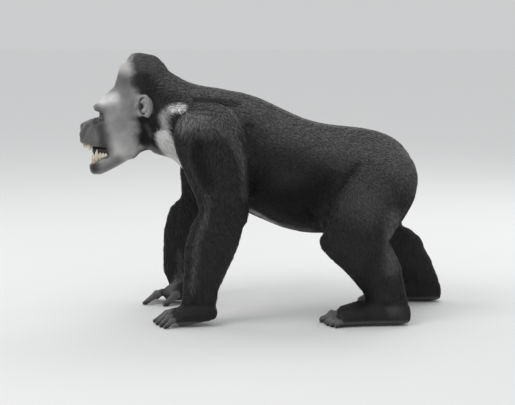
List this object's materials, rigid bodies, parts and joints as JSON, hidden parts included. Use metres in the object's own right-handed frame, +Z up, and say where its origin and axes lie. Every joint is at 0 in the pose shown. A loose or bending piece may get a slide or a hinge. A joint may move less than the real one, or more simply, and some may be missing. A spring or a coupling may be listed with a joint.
{
  "type": "gorilla",
  "caption": "Life-size adult male gorilla standing still on all fours with its mouth open and its weight on its palms and soles.",
  "frame": {"origin": "on the floor, under the middle of the animal's outer box", "axes": "-X the way the animal faces, -Y its left side, +Z up"},
  "size_m": [1.5271, 0.6756, 1.0775],
  "materials": {
    "coat": "short dark charcoal hair lying along the body, with a soft sheen",
    "bare_skin": "grey bare skin with fine creases and a soft shine on the brow and nose",
    "palm_skin": "dark grey creased skin",
    "eye": "wet dark brown",
    "tooth": "cream enamel",
    "tongue": "wet pink"
  },
  "bodies": {
    "root": {"head": "bare_skin", "jaw": "bare_skin", "neck": "coat", "chest": "coat", "belly": "coat", "pelvis": "coat", "upper_teeth": "tooth", "lower_teeth": "tooth", "tongue": "tongue", "ear_left": "bare_skin", "eye_left": "eye", "upper_arm_left": "coat", "forearm_left": "coat", "hand_left": "palm_skin", "index_finger_left": "palm_skin", "middle_finger_left": "palm_skin", "ring_finger_left": "palm_skin", "little_finger_left": "palm_skin", "thumb_left": "palm_skin", "thigh_left": "coat", "shank_left": "coat", "foot_left": "palm_skin", "big_toe_left": "palm_skin", "toe_2_left": "palm_skin", "toe_3_left": "palm_skin", "toe_4_left": "palm_skin", "toe_5_left": "palm_skin", "ear_right": "bare_skin", "eye_right": "eye", "upper_arm_right": "coat", "forearm_right": "coat", "hand_right": "palm_skin", "index_finger_right": "palm_skin", "middle_finger_right": "palm_skin", "ring_finger_right": "palm_skin", "little_finger_right": "palm_skin", "thumb_right": "palm_skin", "thigh_right": "coat", "shank_right": "coat", "foot_right": "palm_skin", "big_toe_right": "palm_skin", "toe_2_right": "palm_skin", "toe_3_right": "palm_skin", "toe_4_right": "palm_skin", "toe_5_right": "palm_skin"}
  },
  "joints": []
}
